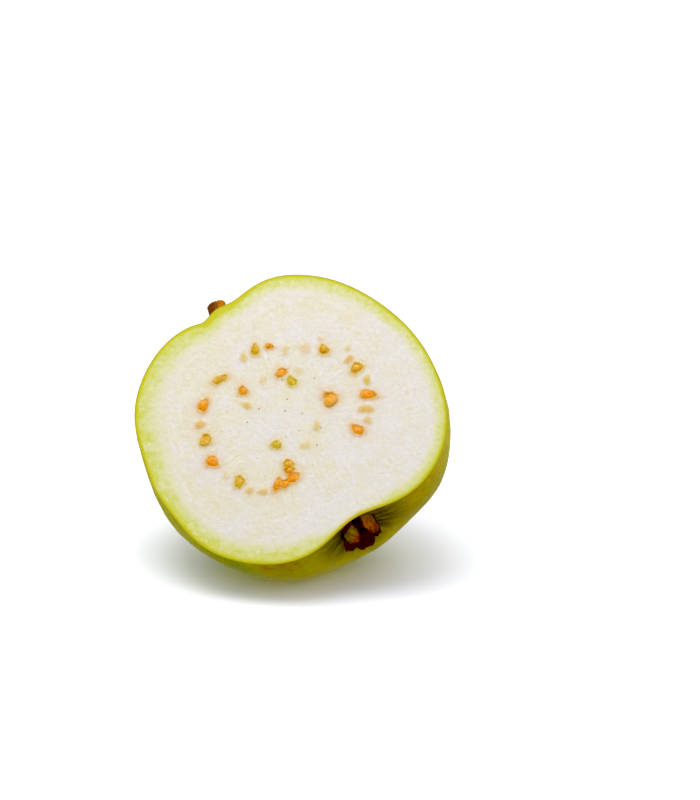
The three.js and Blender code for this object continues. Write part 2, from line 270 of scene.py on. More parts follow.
class GuavaSettings(bpy.types.PropertyGroup):
    """All the settings of the guava half."""

    fruit: PointerProperty(name="Fruit", description="Skin and flesh", type=FruitSettings)
    seeds: PointerProperty(name="Seeds", description="The seeds", type=SeedSettings)
    stem: PointerProperty(name="Stem", description="The stub of the stem", type=StemSettings)
    calyx: PointerProperty(name="Calyx", description="The dry calyx", type=CalyxSettings)
    stage: PointerProperty(name="Stage", description="Floor, light, camera", type=StageSettings)


# ---------- node trees ----------


def enabled(sockets, key):
    """A socket by its place, or the first one in use with that name."""
    if isinstance(key, int):
        return sockets[key]
    return next(socket for socket in sockets if socket.name == key and socket.enabled)


class Value:
    """What comes out of a node. Sums and products of values add nodes to their tree."""

    def __init__(self, wiring, socket):
        self.wiring, self.socket = wiring, socket

    def __add__(self, other):
        return self.wiring.math("ADD", self, other)

    def __sub__(self, other):
        return self.wiring.math("SUBTRACT", self, other)

    def __rsub__(self, other):
        return self.wiring.math("SUBTRACT", other, self)

    def __mul__(self, other):
        return self.wiring.math("MULTIPLY", self, other)

    def __rmul__(self, other):
        return self.wiring.math("MULTIPLY", other, self)

    def __truediv__(self, other):
        return self.wiring.math("DIVIDE", self, other)

    def __rtruediv__(self, other):
        return self.wiring.math("DIVIDE", other, self)

    def span(self, start, end, low=0.0, high=1.0):
        """Goes smoothly from low to high while this value goes from start to end."""
        return self.wiring.node("ShaderNodeMapRange", {
            "Value": self, "From Min": start, "From Max": end, "To Min": low, "To Max": high,
        }, interpolation_type="SMOOTHSTEP")

    def swing(self, width):
        """Turns a 0-1 noise into a swing of that width about 0."""
        return (self - 0.5) * width

    def noise(self, size, detail=2, roughness=0.5, distortion=0):
        """0-1 noise at this place, with patches of that size."""
        return self.wiring.node("ShaderNodeTexNoise", {
            "Vector": self, "Scale": 1 / size, "Detail": detail, "Roughness": roughness,
            "Distortion": distortion,
        })

    def cells(self, size):
        """Distance of this place from the nearest of scattered points, as a share of their
        spacing, and a random value for each point."""
        made = self.wiring.add("ShaderNodeTexVoronoi", {"Vector": self, "Scale": 1 / size})
        return (Value(self.wiring, made.outputs[name]) for name in ("Distance", "Color"))

    def parts(self):
        """The X, Y and Z of this vector."""
        made = self.wiring.add("ShaderNodeSeparateXYZ", {0: self})
        return [Value(self.wiring, socket) for socket in made.outputs]

    def near(self, middle, reach):
        """1 where this place is the middle, fading to 0 at reach from it."""
        offset = self.wiring.vector_math("SUBTRACT", self, tuple(middle))
        return self.wiring.vector_math("LENGTH", offset).span(reach, 0.3 * reach)

    def ramp(self, *stops):
        """Goes through (place, colour) stops as this value goes from 0 to 1."""
        made = self.wiring.add("ShaderNodeValToRGB", {"Fac": self})
        elements = made.color_ramp.elements
        while len(elements) < len(stops):
            elements.new(1.0)
        for element, (place, shade) in zip(elements, stops):
            element.position, element.color = place, (*shade, 1)
        return Value(self.wiring, made.outputs["Color"])


class Wiring:
    """Shorthand for building a node tree."""

    def __init__(self, tree):
        self.tree = tree

    def add(self, kind, sockets=None, **settings):
        """Adds a node, with what goes into its sockets by their names or places."""
        made = self.tree.nodes.new(kind)
        for name, value in settings.items():
            setattr(made, name, value)
        for key, value in (sockets or {}).items():
            socket = enabled(made.inputs, key)
            if isinstance(value, Value):
                self.tree.links.new(value.socket, socket)
            else:
                socket.default_value = (*value, 1) if socket.type == "RGBA" else value
        return made

    def node(self, kind, sockets=None, output=0, **settings):
        """Adds a node and gives one of its outputs."""
        return Value(self, enabled(self.add(kind, sockets, **settings).outputs, output))

    def math(self, operation, *values, clamp=False):
        return self.node("ShaderNodeMath", dict(enumerate(values)), operation=operation,
                         use_clamp=clamp)

    def vector_math(self, operation, *values):
        return self.node("ShaderNodeVectorMath", dict(enumerate(values)),
                         "Value" if operation == "LENGTH" else "Vector", operation=operation)

    def scaled(self, vector, factor):
        return self.node("ShaderNodeVectorMath", {"Vector": vector, "Scale": factor},
                         operation="SCALE")

    def combine(self, x=0, y=0, z=0):
        return self.node("ShaderNodeCombineXYZ", {0: x, 1: y, 2: z})

    def mix(self, factor, first, second):
        return self.node("ShaderNodeMix", {0: factor, 6: first, 7: second}, 2, data_type="RGBA")

    def paint(self, colour, *layers):
        """Lays (mask, colour) layers over a colour, each where its mask is above 0."""
        for mask, shade in layers:
            colour = self.mix(mask, colour, shade)
        return colour

    def attribute(self, name, output="Fac"):
        return self.node("ShaderNodeAttribute", output=output, attribute_name=name)

    def bump(self, *layers):
        """The normal that height layers give: each is a 0-1 height and how high 1 is."""
        below = {}
        for height, distance in layers:
            below = {"Normal": self.node("ShaderNodeBump", {
                "Height": height, "Distance": distance, "Strength": 1, **below,
            })}
        return below["Normal"]

    def geometry(self, kind, geometry, **sockets):
        """Adds a node that changes a geometry."""
        return self.node("GeometryNode" + kind, {"Geometry": geometry, **sockets})

    def named(self, name, kind="FLOAT"):
        """A mesh attribute, in a geometry node tree."""
        return self.node("GeometryNodeInputNamedAttribute", {"Name": name}, "Attribute",
                         data_type=kind)

    def drawn(self, low, high, draw):
        """A random number or vector between two."""
        return self.node("FunctionNodeRandomValue", {"Min": low, "Max": high, "Seed": draw},
                         "Value", data_type="FLOAT_VECTOR" if isinstance(low, tuple) else "FLOAT")


def shading(name, **finish):
    """Turns a function into one that makes a material with one Principled shader. The function
    gets a wiring, the place on the object and any settings, and returns the colour, then the
    roughness and the normal if they vary. finish names values that are the same all over."""
    def decorate(build):
        def make(*settings):
            material = bpy.data.materials.new(name)
            material.use_nodes = True
            wiring = Wiring(material.node_tree)
            shader = material.node_tree.nodes["Principled BSDF"]
            for key, value in finish.items():
                key = key.replace("_", " ").title().replace("Ior", "IOR")
                shader.inputs[key].default_value = value
            place = wiring.node("ShaderNodeTexCoord", output="Object")
            values = build(wiring, place, *settings)
            for key, value in zip(("Base Color", "Roughness", "Normal"), values):
                wiring.tree.links.new(value.socket, shader.inputs[key])
            return material
        return make
    return decorate


SOCKET_KINDS = {float: "NodeSocketFloat", int: "NodeSocketInt",
                bpy.types.Material: "NodeSocketMaterial"}


def grow(piece, name, build, values):
    """Runs a geometry node tree on the piece and keeps the result as its plain mesh. The values
    are the tree's named inputs, and build(wiring, given) returns the geometry that it gives."""
    tree = bpy.data.node_groups.new(name, "GeometryNodeTree")
    for direction in ("OUTPUT", "INPUT"):
        tree.interface.new_socket("Geometry", in_out=direction, socket_type="NodeSocketGeometry")
    identifiers = {}
    for key, value in values.items():
        kind = next(SOCKET_KINDS[of] for of in SOCKET_KINDS if isinstance(value, of))
        identifiers[key] = tree.interface.new_socket(
            key, in_out="INPUT", socket_type=kind).identifier
    wiring = Wiring(tree)
    given = {socket.name: Value(wiring, socket) for socket in wiring.add("NodeGroupInput").outputs}
    wiring.add("NodeGroupOutput", {"Geometry": build(wiring, given)})
    modifier = piece.modifiers.new(name, "NODES")
    modifier.node_group = tree
    for key, value in values.items():
        modifier[identifiers[key]] = value
    graph = bpy.context.evaluated_depsgraph_get()
    mesh = bpy.data.meshes.new_from_object(
        piece.evaluated_get(graph), preserve_all_data_layers=True, depsgraph=graph)
    piece.modifiers.remove(modifier)
    mesh.name = piece.name
    piece.data = mesh


# ---------- meshes ----------


def add_object(name, data):
    made = bpy.data.objects.new(name, data)
    bpy.context.scene.collection.objects.link(made)
    return made


def new_piece(name, points, faces):
    mesh = bpy.data.meshes.new(name)
    mesh.from_pydata([tuple(point) for point in points], [], [tuple(face) for face in faces])
    mesh.update()
    return add_object(name, mesh)


def store(mesh, **layers):
    """Keeps named values, or vectors, for each point of a mesh."""
    for name, values in layers.items():
        data = np.array(values, np.float32)
        kind, field = ("FLOAT_VECTOR", "vector") if data.ndim == 2 else ("FLOAT", "value")
        mesh.attributes.new(name, kind, "POINT").data.foreach_set(field, data.ravel())


def mark(mesh, name, domain, flags):
    """Keeps true or false for each face or edge."""
    mesh.attributes.new(name, "BOOLEAN", domain).data.foreach_set("value", flags)


def turned(profile, columns):
    """The (radius, angle, height) places of a shape turned round z from a profile of radii and
    heights, and its faces."""
    places = [(radius, TAU * column / columns, height)
              for radius, height in profile for column in range(columns)]
    index = np.arange(len(places)).reshape(-1, columns)
    after = np.roll(index, -1, axis=1)
    return places, np.stack([index[:-1], after[:-1], after[1:], index[1:]], -1).reshape(-1, 4)


def polar(radius, around, height):
    return Vector((radius * math.cos(around), radius * math.sin(around), height))


def fruit_to_row():
    """Turns the fruit's frame into the row frame."""
    return Matrix.Translation(FACE_MIDDLE) @ Matrix.Rotation(math.pi / 2 - FACE_TILT, 4, "X")


def set_down(piece, node):
    """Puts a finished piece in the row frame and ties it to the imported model."""
    piece.data.transform(fruit_to_row())
    piece.data.shade_smooth()
    piece.data.update()
    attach(piece, "root")
    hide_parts(node)


def smooth_step(value, start, end):
    t = np.clip((value - start) / (end - start), 0, 1)
    return t * t * (3 - 2 * t)


# ---------- the fruit's skin as a formula, on arrays of angles ----------


def outline_radius(turn):
    """Closed smooth curve through the outline's radii (Catmull-Rom)."""
    radii = np.array(OUTLINE)
    place = (turn / TAU) % 1 * len(radii)
    first = np.floor(place).astype(int)
    t = place - first
    a, b, c, d = (radii[(first + step) % len(radii)] for step in (-1, 0, 1, 2))
    slope = (c - a) * t + (2 * a - 5 * b + 4 * c - d) * t**2
    return b + (slope + (3 * b - a - 3 * c + d) * t**3) / 2


def direction_at(turn, sink):
    turn, sink = np.broadcast_arrays(turn, sink)
    flat = np.cos(sink)
    return np.stack([flat * np.cos(turn), flat * np.sin(turn), -np.sin(sink)], -1)


def swell_height(direction, place):
    away = np.arccos(np.clip(direction @ direction_at(place.turn, place.sink), -1, 1))
    return place.rise * np.exp(-((away / place.spread) ** 2))


def lumps(direction):
    x, y, z = np.moveaxis(direction, -1, 0)
    wave = np.sin(4.1 * x + 1.2) * np.cos(3.3 * y - 0.6) + 0.6 * np.sin(5.3 * y + 3.7 * z)
    return -LUMP_HEIGHT * z * wave


def reach_to(radius, sink):
    """Distance from the middle of the face to where the skin is radius away from the core."""
    return CORE_DEPTH * np.sin(sink) + np.sqrt(radius**2 - (CORE_DEPTH * np.cos(sink)) ** 2)


def skin_radius(turn, sink):
    direction = direction_at(turn, sink)
    edge = np.hypot(outline_radius(turn), CORE_DEPTH)
    plain = BACK_RADIUS + (edge - BACK_RADIUS) * np.maximum(np.cos(sink), 0) ** BACK_BLEND
    from_core = direction * reach_to(plain, sink)[..., None] + (0, 0, CORE_DEPTH)
    from_core /= np.linalg.norm(from_core, axis=-1, keepdims=True)
    return plain + lumps(direction) + sum(swell_height(from_core, place) for place in SWELLS)


def skin_points(turn, sink):
    points = direction_at(turn, sink) * reach_to(skin_radius(turn, sink), sink)[..., None]
    points[..., 0] += BACK_LEAN * points[..., 2]
    return points


def height_above_floor(points):
    return FACE_MIDDLE.z + points @ UP


def press_flat(points):
    """The fruit's own weight presses its skin flat where it rests."""
    height = height_above_floor(points)
    t = height / PRESS_ROUNDING
    pressed = np.where(t >= 1, height, np.where(t <= -1, 0, PRESS_ROUNDING * (t + 1) ** 2 / 4))
    return points + (pressed - height)[..., None] * UP


def end_frame(end, turn_on_face=0.0):
    """The frame of one end of the core: z outwards, y towards the cut face, origin on the
    skin."""
    outward = Vector(direction_at(end.turn, end.sink))
    towards_cut = Vector((0, 0, 1))
    right = towards_cut.cross(outward)
    sink = math.atan2(CORE_DEPTH, BACK_RADIUS)
    place = outward * float(skin_radius(end.turn, sink)) - towards_cut * CORE_DEPTH
    place.x += BACK_LEAN * place.z
    turned = Matrix((right, towards_cut, outward)).transposed().to_4x4()
    return Matrix.Translation(place) @ turned @ Matrix.Rotation(turn_on_face, 4, "Y")


# ---------- skin and flesh ----------

END_SIDE = -20 * MM  # what lies lower in an end's frame belongs to the other side of the fruit
FOLDS, FOLDS_AWAY, FOLDS_WIDTH = 11, 8, 3.5  # close to an end: their number, then millimetres
FURROWS, FURROWS_AWAY, FURROWS_WIDTH = 5, 17, 8  # broader, further out
WRINKLE_LENGTH = 60 * MM
CALYX_PIT_FLOOR = 4.4  # radius in millimetres
CALYX_PIT_WALL = 5.5
CALYX_PIT_DEPTH = 3.4 * MM
SEED_PIT_DEPTH = 0.8 * MM
PULP_RADIUS = 25 * MM
PULP_MIDDLE = -2 * MM
FIBRE_STRETCH = 0.22  # the lower, the longer the fibres
# where the skin is flushed with orange: middle, reach and strength
BLUSHES = ((Vector((4, -43, -1.5)) * MM, 11 * MM, 0.7), (Vector((40, -20, -8)) * MM, 24 * MM, 0.35))


def seen_from_end(points, end):
    """Points' angles round one end of the core, distances from its line, and 1 for those on its
    side of the fruit."""
    inverse = end_frame(end).inverted()
    local = points @ np.array(inverse.to_3x3()).T + np.array(inverse.translation)
    x, y, height = np.moveaxis(local, -1, 0)
    return np.arctan2(y, x), np.hypot(x, y), np.where(height > END_SIDE, 1.0, 0.0)


def skin_grid(fruit):
    """The skin's points, row by row from the cut edge back, with the folds and furrows that run
    out from the core's ends and the pit under the calyx."""
    turns = np.linspace(0, TAU, RIM_COLUMNS, endpoint=False)
    rows = [0, *ROWS_NEAR_RIM, *np.arange(ROWS_NEAR_RIM[-1] + ROW_STEP, LAST_ROW, ROW_STEP)]
    grid = skin_points(turns[None, :], np.radians(rows)[:, None])
    outward = grid / np.linalg.norm(grid, axis=-1, keepdims=True)
    for end in (STEM, CALYX):
        around, away, near = seen_from_end(grid, end)
        away = away / MM
        fold = np.cos(FOLDS * around + 1.3 * np.sin(3 * around))
        fold = fold * np.exp(-(((away - FOLDS_AWAY) / FOLDS_WIDTH) ** 2))
        furrow = np.cos(FURROWS * around + 0.8)
        furrow = furrow * np.exp(-(((away - FURROWS_AWAY) / FURROWS_WIDTH) ** 2))
        behind_cut = smooth_step(-grid[..., 2], 0, 3 * MM)
        raised = fruit.crease_height * near * behind_cut * (0.55 * fold + 0.9 * furrow)
        grid = grid + outward * raised[..., None]
        if end is CALYX:
            pit = near * (1 - smooth_step(away, CALYX_PIT_FLOOR, CALYX_PIT_WALL)) * CALYX_PIT_DEPTH
            grid = grid + pit[..., None] * np.array(end_frame(end).to_3x3() @ Vector((0, 0, -1)))
    return grid


def seed_distance(points, one, growth=1.0, uneven=0.0):
    """Distance from a seed's middle in the plane of the face, 1 at its outline."""
    offset = points[:, :2] - (one.x, one.y)
    along = offset @ (math.cos(one.turn), math.sin(one.turn))
    across = offset @ (-math.sin(one.turn), math.cos(one.turn))
    around = np.arctan2(across, along) + one.x / MM
    wave = 0.6 * np.sin(2 * around) + 0.5 * np.sin(3 * around + one.y / MM) + 0.3 * np.sin(7 * around)
    return np.hypot(along / one.length, across / one.width) * 2 / growth * (1 + uneven * wave)


def triangular_grid(pitch):
    """Points at even distances, those of them that lie well inside the cut edge."""
    half = int(GRID_HALF / pitch)
    column, row = np.meshgrid(np.arange(-half, half), np.arange(-half, half))
    points = np.stack([column + row % 2 / 2, row * math.sqrt(0.75)], -1).reshape(-1, 2) * pitch
    turn = np.arctan2(points[:, 1], points[:, 0])
    edge = np.linalg.norm(skin_points(turn, np.zeros_like(turn))[:, :2], axis=1)
    return points[np.linalg.norm(points, axis=1) < edge - 2 * RINGS_AT_EDGE[-1]]


def face_grid(rim):
    """Points inside the cut edge: an even grid with closer points round the seeds, and rings
    along the edge."""
    coarse, fine = triangular_grid(FACE_PITCH), triangular_grid(SEED_PITCH)
    near_coarse = np.min([seed_distance(coarse, one, 1.7) for one in SEEDS], axis=0)
    near_fine = np.min([seed_distance(fine, one, 1.6) for one in SEEDS], axis=0)
    radius = np.linalg.norm(rim, axis=1, keepdims=True)
    rings = [rim * (1 - ring / radius) for ring in RINGS_AT_EDGE]
    return np.concatenate([*rings, coarse[near_coarse > 1], fine[near_fine < 1]])


def fruit_mesh(fruit, seeds):
    """The closed half: the cut face inside its rim, and the skin behind it."""
    grid = skin_grid(fruit)
    rim = grid[0, :, :2]
    flat = np.concatenate([rim, face_grid(rim)])
    edges = [(i, (i + 1) % RIM_COLUMNS) for i in range(RIM_COLUMNS)]
    cut = delaunay_2d_cdt([Vector(point) for point in flat], edges, [], 1, 1e-9)
    if len(cut[0]) != len(flat):
        raise RuntimeError("the cut face's grid has points that coincide")
    face = np.column_stack([flat, np.zeros(len(flat))])
    skin = press_flat(grid[1:].reshape(-1, 3))
    pole = press_flat(skin_points(np.array([0.0]), np.array([math.pi / 2])))
    points = np.concatenate([face, skin, pole])
    triangles = [corners if turned_up(flat, corners) else corners[::-1] for corners in cut[2]]
    behind = len(face) + np.arange(len(skin)).reshape(-1, RIM_COLUMNS)
    index = np.concatenate([[np.arange(RIM_COLUMNS)], behind])
    after = np.roll(index, -1, axis=1)
    quads = np.stack([index[:-1], index[1:], after[1:], after[:-1]], -1).reshape(-1, 4)
    cap = [(a, len(points) - 1, b) for a, b in zip(index[-1], after[-1])]
    piece = new_piece("guava_half", points, [*triangles, *quads, *cap])
    mesh = piece.data
    mark(mesh, "is_flesh", "FACE", np.arange(len(mesh.polygons)) < len(triangles))
    ends = np.zeros(len(mesh.edges) * 2, np.int32)
    mesh.edges.foreach_get("vertices", ends)
    ends = ends.reshape(-1, 2)
    step = np.abs(ends[:, 0] - ends[:, 1])
    along_rim = (ends < RIM_COLUMNS).all(1) & ((step == 1) | (step == RIM_COLUMNS - 1))
    mark(mesh, "sharp_edge", "EDGE", along_rim)
    store_fruit_values(mesh, points, len(face), seeds)
    return piece


def turned_up(flat, corners):
    a, b, c = (flat[i] for i in corners)
    return (b[0] - a[0]) * (c[1] - a[1]) > (b[1] - a[1]) * (c[0] - a[0])


def store_fruit_values(mesh, points, face_count, seeds):
    """What the relief and the materials need to know about each point."""
    face = points[:face_count]
    edge = kdtree.KDTree(RIM_COLUMNS * 12)
    turns = np.linspace(0, TAU, RIM_COLUMNS * 12, endpoint=False)
    for i, point in enumerate(skin_points(turns, np.zeros_like(turns))):
        edge.insert(point, i)
    edge.balance()
    from_edge, mound, stain, tone, skin, grain = np.zeros((6, len(points)))
    from_edge[RIM_COLUMNS:face_count] = [edge.find(point)[2] for point in face[RIM_COLUMNS:]]
    grain[:face_count] = smooth_step(from_edge[:face_count], 0, 1.2 * MM)
    for one in SEEDS:
        away = seed_distance(face, one)
        uneven = seed_distance(face, one, uneven=0.18)
        if one.show >= BARE:
            lip = seeds.lip_height * np.exp(-(((uneven - 1.08) / 0.28) ** 2))
            pit = SEED_PIT_DEPTH * (1 - smooth_step(uneven, 0.5, 0.95))
            mound[:face_count] += lip - pit
            own = np.exp(-np.maximum(uneven - 0.95, 0) / 0.56)
            grain[:face_count] *= smooth_step(away, 0.9, 1.3)
        else:
            mound[:face_count] += seeds.mound_height * one.show * np.exp(-(away**2.6))
            own = min(1.3 * one.show, 0.95) * np.exp(-((uneven / 1.1) ** 3.5))
        own = np.maximum(own, 0.18 * one.show * np.exp(-((uneven / 2.3) ** 2)))
        tone[:face_count] = np.where(own > stain[:face_count], one.tone, tone[:face_count])
        stain[:face_count] = np.maximum(stain[:face_count], own)
    skin[face_count:] = smooth_step(height_above_floor(points[face_count:]), 0.3 * MM, 4 * MM)
    first = slice(face_count, face_count + 3 * RIM_COLUMNS)
    skin[first] *= np.repeat([0.25, 0.5, 0.8], RIM_COLUMNS)
    around_pulp = np.hypot(points[:, 0] - PULP_MIDDLE, points[:, 1]) / PULP_RADIUS
    turn = np.arctan2(points[:, 1], points[:, 0])
    near_end, wrinkle = end_wrinkles(points)
    store(mesh, from_edge=from_edge, mound=mound, stain=stain, tone=tone, skin_relief=skin,
          flesh_relief=grain, around_pulp=around_pulp, near_end=near_end,
          fibre=np.stack([np.cos(turn), np.sin(turn), around_pulp * FIBRE_STRETCH], -1),
          wrinkle=wrinkle)


def end_wrinkles(points):
    """1 at the core's two ends and 0 away from them, and vectors that change quickly round an
    end and slowly away from it."""
    near_end = np.zeros(len(points))
    wrinkle = np.zeros((len(points), 3))
    for end, start, reach in ((STEM, 2.5 * MM, 9 * MM), (CALYX, 7 * MM, 19 * MM)):
        around, away, near = seen_from_end(points, end)
        near = near * (1 - smooth_step(away, start, reach))
        here = near > 0
        near_end[here] = near[here]
        lines = np.stack([np.cos(around), np.sin(around), away / WRINKLE_LENGTH], -1)
        wrinkle[here] = lines[here]
    return near_end, wrinkle


def relief(wiring, given):
    """Raises the fine relief of skin and flesh and gives each its material."""
    place = wiring.node("GeometryNodeInputPosition")
    dimples = place.noise(given["Dimple Size"], detail=3).swing(2)
    grain = place.noise(given["Grain Size"], detail=3, roughness=0.6).swing(2)
    skin = wiring.named("skin_relief") * given["Dimple Height"]
    flesh = wiring.named("flesh_relief") * given["Grain Height"]
    height = wiring.named("mound") + (dimples * skin + grain * flesh)
    offset = wiring.scaled(wiring.node("GeometryNodeInputNormal"), height)
    raised = wiring.geometry("SetPosition", given["Geometry"], Offset=offset)
    realized = wiring.geometry("RealizeInstances", raised)
    skinned = wiring.geometry("SetMaterial", realized, Material=given["Skin"])
    return wiring.geometry("SetMaterial", skinned, Material=given["Flesh"],
                           Selection=wiring.named("is_flesh", "BOOLEAN"))


@shading("guava_skin", ior=1.45, specular_ior_level=0.06, subsurface_weight=0.1,
         subsurface_radius=(1.0, 0.8, 0.05), subsurface_scale=0.8 * MM)
def skin_material(wiring, place, fruit):
    """Waxy yellow-green skin with pores and small brown blemishes, darker olive-brown at the core's
    ends, with painted shade in the folds' hollows and painted light on their ridges.
    """
    # greener to the left and riper to the right
    patches = place.noise(22 * MM, detail=3, distortion=0.4) + place.parts()[0] * 1.8
    mottle = place.noise(2.6 * MM, detail=4, roughness=0.6)
    fine = place.noise(0.7 * MM)
    dots, dot_draw = place.cells(2.1 * MM)
    scars, scar_draw = place.cells(7 * MM)
    scar = (scars + fine.swing(0.2)).span(0.13, 0.04) * scar_draw.span(0.6, 0.75)
    pores, _ = place.cells(fruit.pore_size)
    flush = place.noise(3 * MM, detail=4).span(0.4, 0.7, 0.25, 1)
    near_end = wiring.attribute("near_end")
    wrinkles = wiring.attribute("wrinkle", "Vector").noise(0.16, detail=4, roughness=0.6)
    colour = wiring.paint(
        fruit.skin_colour,
        (patches.span(0.48, 0.68), fruit.ripe_colour),
        (patches.span(0.5, 0.32, 0, 0.7), fruit.green_colour),
        (mottle.span(0.5, 0.72, 0, 0.6), tint(210, 206, 34)),
        (mottle.span(0.5, 0.3, 0, 0.6), tint(156, 160, 0)),
        (fine.span(0.52, 0.7, 0, 0.4), tint(146, 146, 0)),
        (dots.span(0.26, 0.1) * dot_draw.span(0.45, 0.8) * 0.5, tint(212, 210, 60)),
        (scar * 0.55, fruit.blush_colour),
        *((place.near(fruit_to_row() @ middle, reach) * flush * most, fruit.blush_colour)
          for middle, reach, most in BLUSHES),
        # round the core's ends: a darker olive-brown that deepens into painted shade in the folds'
        # hollows
        (near_end * wrinkles.span(0.36, 0.6, 0.55, 1), tint(98, 82, 2)),
        # the folds' ridges paler: a painted highlight
        (near_end * wrinkles.span(0.4, 0.28, 0, 0.5), tint(168, 152, 40)))
    rough = mottle.span(0.3, 0.7, 0.27, 0.42) + scar * 0.25
    normal = wiring.bump((wrinkles * near_end, -0.8 * MM), (place.noise(5 * MM), 0.45 * MM),
                         (place.noise(1.6 * MM, detail=3), 0.22 * MM),
                         (pores.span(0, 0.4), 0.08 * MM))
    return colour, rough, normal


@shading("guava_flesh", ior=1.38, specular_ior_level=0.3, subsurface_weight=0.2,
         subsurface_radius=(1.0, 0.8, 0.5), subsurface_scale=0.6 * MM)
def flesh_material(wiring, place, fruit, seeds):
    """Moist white flesh with fine grains, fibres round the pulp, a green edge and the tints of
    its seeds."""
    x, _, z = place.parts()
    z = z - FACE_MIDDLE.z
    from_edge = wiring.attribute("from_edge")
    around_pulp = wiring.attribute("around_pulp")
    round_core = wiring.attribute("fibre", "Vector")
    broad = place.noise(16 * MM)
    clouds = place.noise(5 * MM, detail=4, roughness=0.65)
    mottle = place.noise(1.9 * MM, detail=4, roughness=0.7)
    grain = place.noise(1.1 * MM, detail=3, roughness=0.7)
    fine = place.noise(0.42 * MM, roughness=0.7)
    # streaks that follow the outline, about a third of the way in
    wave = from_edge + broad.swing(6 * MM)
    ring = wave.span(7 * MM, 11 * MM) * wave.span(15 * MM, 11 * MM)
    streak = ring * place.noise(1.6 * MM, detail=4, roughness=0.75).span(0.5, 0.7)
    # faint arcs that follow it too
    cosine, sine, _ = round_core.parts()
    arcs = wiring.combine(cosine, sine, from_edge / (4 * MM)).noise(0.3, detail=3, roughness=0.6)
    outside = around_pulp.span(1.05, 1.25) * broad.span(0.4, 0.6)
    # fibres that run out from the core
    fibre = round_core.noise(0.036, detail=3, roughness=0.7)
    band = around_pulp.span(0.25, 0.6) * around_pulp.span(1.2, 0.9) * clouds.span(0.4, 0.6)
    colour = wiring.paint(
        fruit.pulp_colour,
        # creamier to the left and the top
        ((broad + (x * -2.0 + z)).span(0.4, 0.62), fruit.flesh_colour),
        (clouds.span(0.52, 0.72, 0, 0.3), fruit.straw_colour),
        (clouds.span(0.5, 0.32, 0, 0.9), tint(208, 204, 205)),
        (grain.span(0.5, 0.8, 0, 0.35), fruit.straw_colour),
        (grain.span(0.5, 0.25, 0, 0.6), tint(214, 211, 208)),
        (fine.span(0.5, 0.75, 0, 0.3), tint(194, 187, 164)),
        (fine.span(0.5, 0.25, 0, 0.3), tint(222, 219, 212)),
        (streak * 0.45, tint(206, 180, 110)),
        (outside * arcs.span(0.52, 0.68, 0, 0.22), tint(196, 192, 148)),
        (outside * arcs.span(0.48, 0.34, 0, 0.25), tint(217, 215, 208)),
        (band * fibre.span(0.52, 0.7, 0, 0.6), tint(218, 216, 214)),
        (band * fibre.span(0.5, 0.34, 0, 0.25), tint(190, 184, 152)))
    # the green zone under the skin: wide at the left, narrow by the calyx
    stem_near, calyx_near = (place.near(fruit_to_row() @ end_frame(end).translation, reach)
                             for end, reach in ((STEM, 17 * MM), (CALYX, 16 * MM)))
    squeeze = (x.span(-36 * MM, -8 * MM, 1, 2) + calyx_near * 3 - z.span(20 * MM, 34 * MM, 0, 0.45)
               - z.span(-20 * MM, -32 * MM, 0, 0.9) - stem_near * 0.4)
    depth = from_edge * squeeze + (clouds.swing(6 * MM) + mottle.swing(3 * MM))
    depth = depth / fruit.green_depth
    green = depth.ramp((0.03, fruit.edge_colour), (0.14, tint(190, 191, 90)),
                       (0.3, tint(193, 194, 122)), (0.6, tint(201, 198, 156)),
                       (0.95, tint(206, 202, 178)))
    # the skin's own line, thicker by the stem and golden by the calyx
    line = from_edge * (1 - stem_near * 0.72) + (clouds.swing(0.9 * MM) + mottle.swing(0.9 * MM))
    line_colour = wiring.mix(calyx_near, fruit.line_colour, tint(190, 158, 14))
    # the tints of the seeds, bare or covered, with painted wet glints (painted highlights) in them
    stain = wiring.attribute("stain")
    blurred = stain + stain * (grain.swing(0.7) + fine.swing(0.5))
    stained = wiring.mix(wiring.attribute("tone"), seeds.orange_stain, seeds.olive_stain)
    # small dark specks near the core
    specks, speck_draw = place.cells(2.4 * MM)
    speck = specks.span(0.14, 0.07) * speck_draw.span(0.4, 0.45)
    colour = wiring.paint(
        colour,
        (depth.span(1, 0.5), green),
        (depth.span(1, 0.25) * mottle.span(0.52, 0.64) * 0.8, tint(186, 188, 48)),
        (depth.span(0.95, 0.3) * mottle.span(0.48, 0.36) * 0.55, tint(208, 207, 170)),
        (line.span(1.3 * MM, 0.6 * MM, 0, 0.95), line_colour),
        (from_edge.span(0.6 * MM, 0.1 * MM, 0, 0.75), tint(150, 140, 0)),
        (wiring.math("MULTIPLY", blurred, 0.98, clamp=True), stained),
        # painted highlights: pale wet glints in and round the seeds' tints
        (stain.span(0.04, 0.3) * fine.span(0.6, 0.68) * 0.6, tint(226, 222, 206)),
        (speck * around_pulp.span(0.95, 0.35, 0.1, 0.8), tint(92, 80, 48)))
    normal = wiring.bump((grain, 0.14 * MM), (fine, 0.06 * MM))
    return colour, grain.span(0.3, 0.7, 0.4, 0.62), normal


class GUAVA_OT_fruit(bpy.types.Operator):
    """Builds the skin and the flesh as one closed piece"""

    bl_idname = "guava.fruit"
    bl_label = "Skin and flesh"

    def execute(self, context):
        settings = context.scene.guava
        fruit = settings.fruit
        piece = fruit_mesh(fruit, settings.seeds)
        grow(piece, "Guava Relief", relief, {
            "Dimple Height": fruit.dimple_height, "Dimple Size": fruit.dimple_size,
            "Grain Height": fruit.grain_height, "Grain Size": fruit.grain_size,
            "Skin": skin_material(fruit), "Flesh": flesh_material(fruit, settings.seeds),
        })
        set_down(piece, "fruit_half")
        return {"FINISHED"}


# ---------- seeds ----------


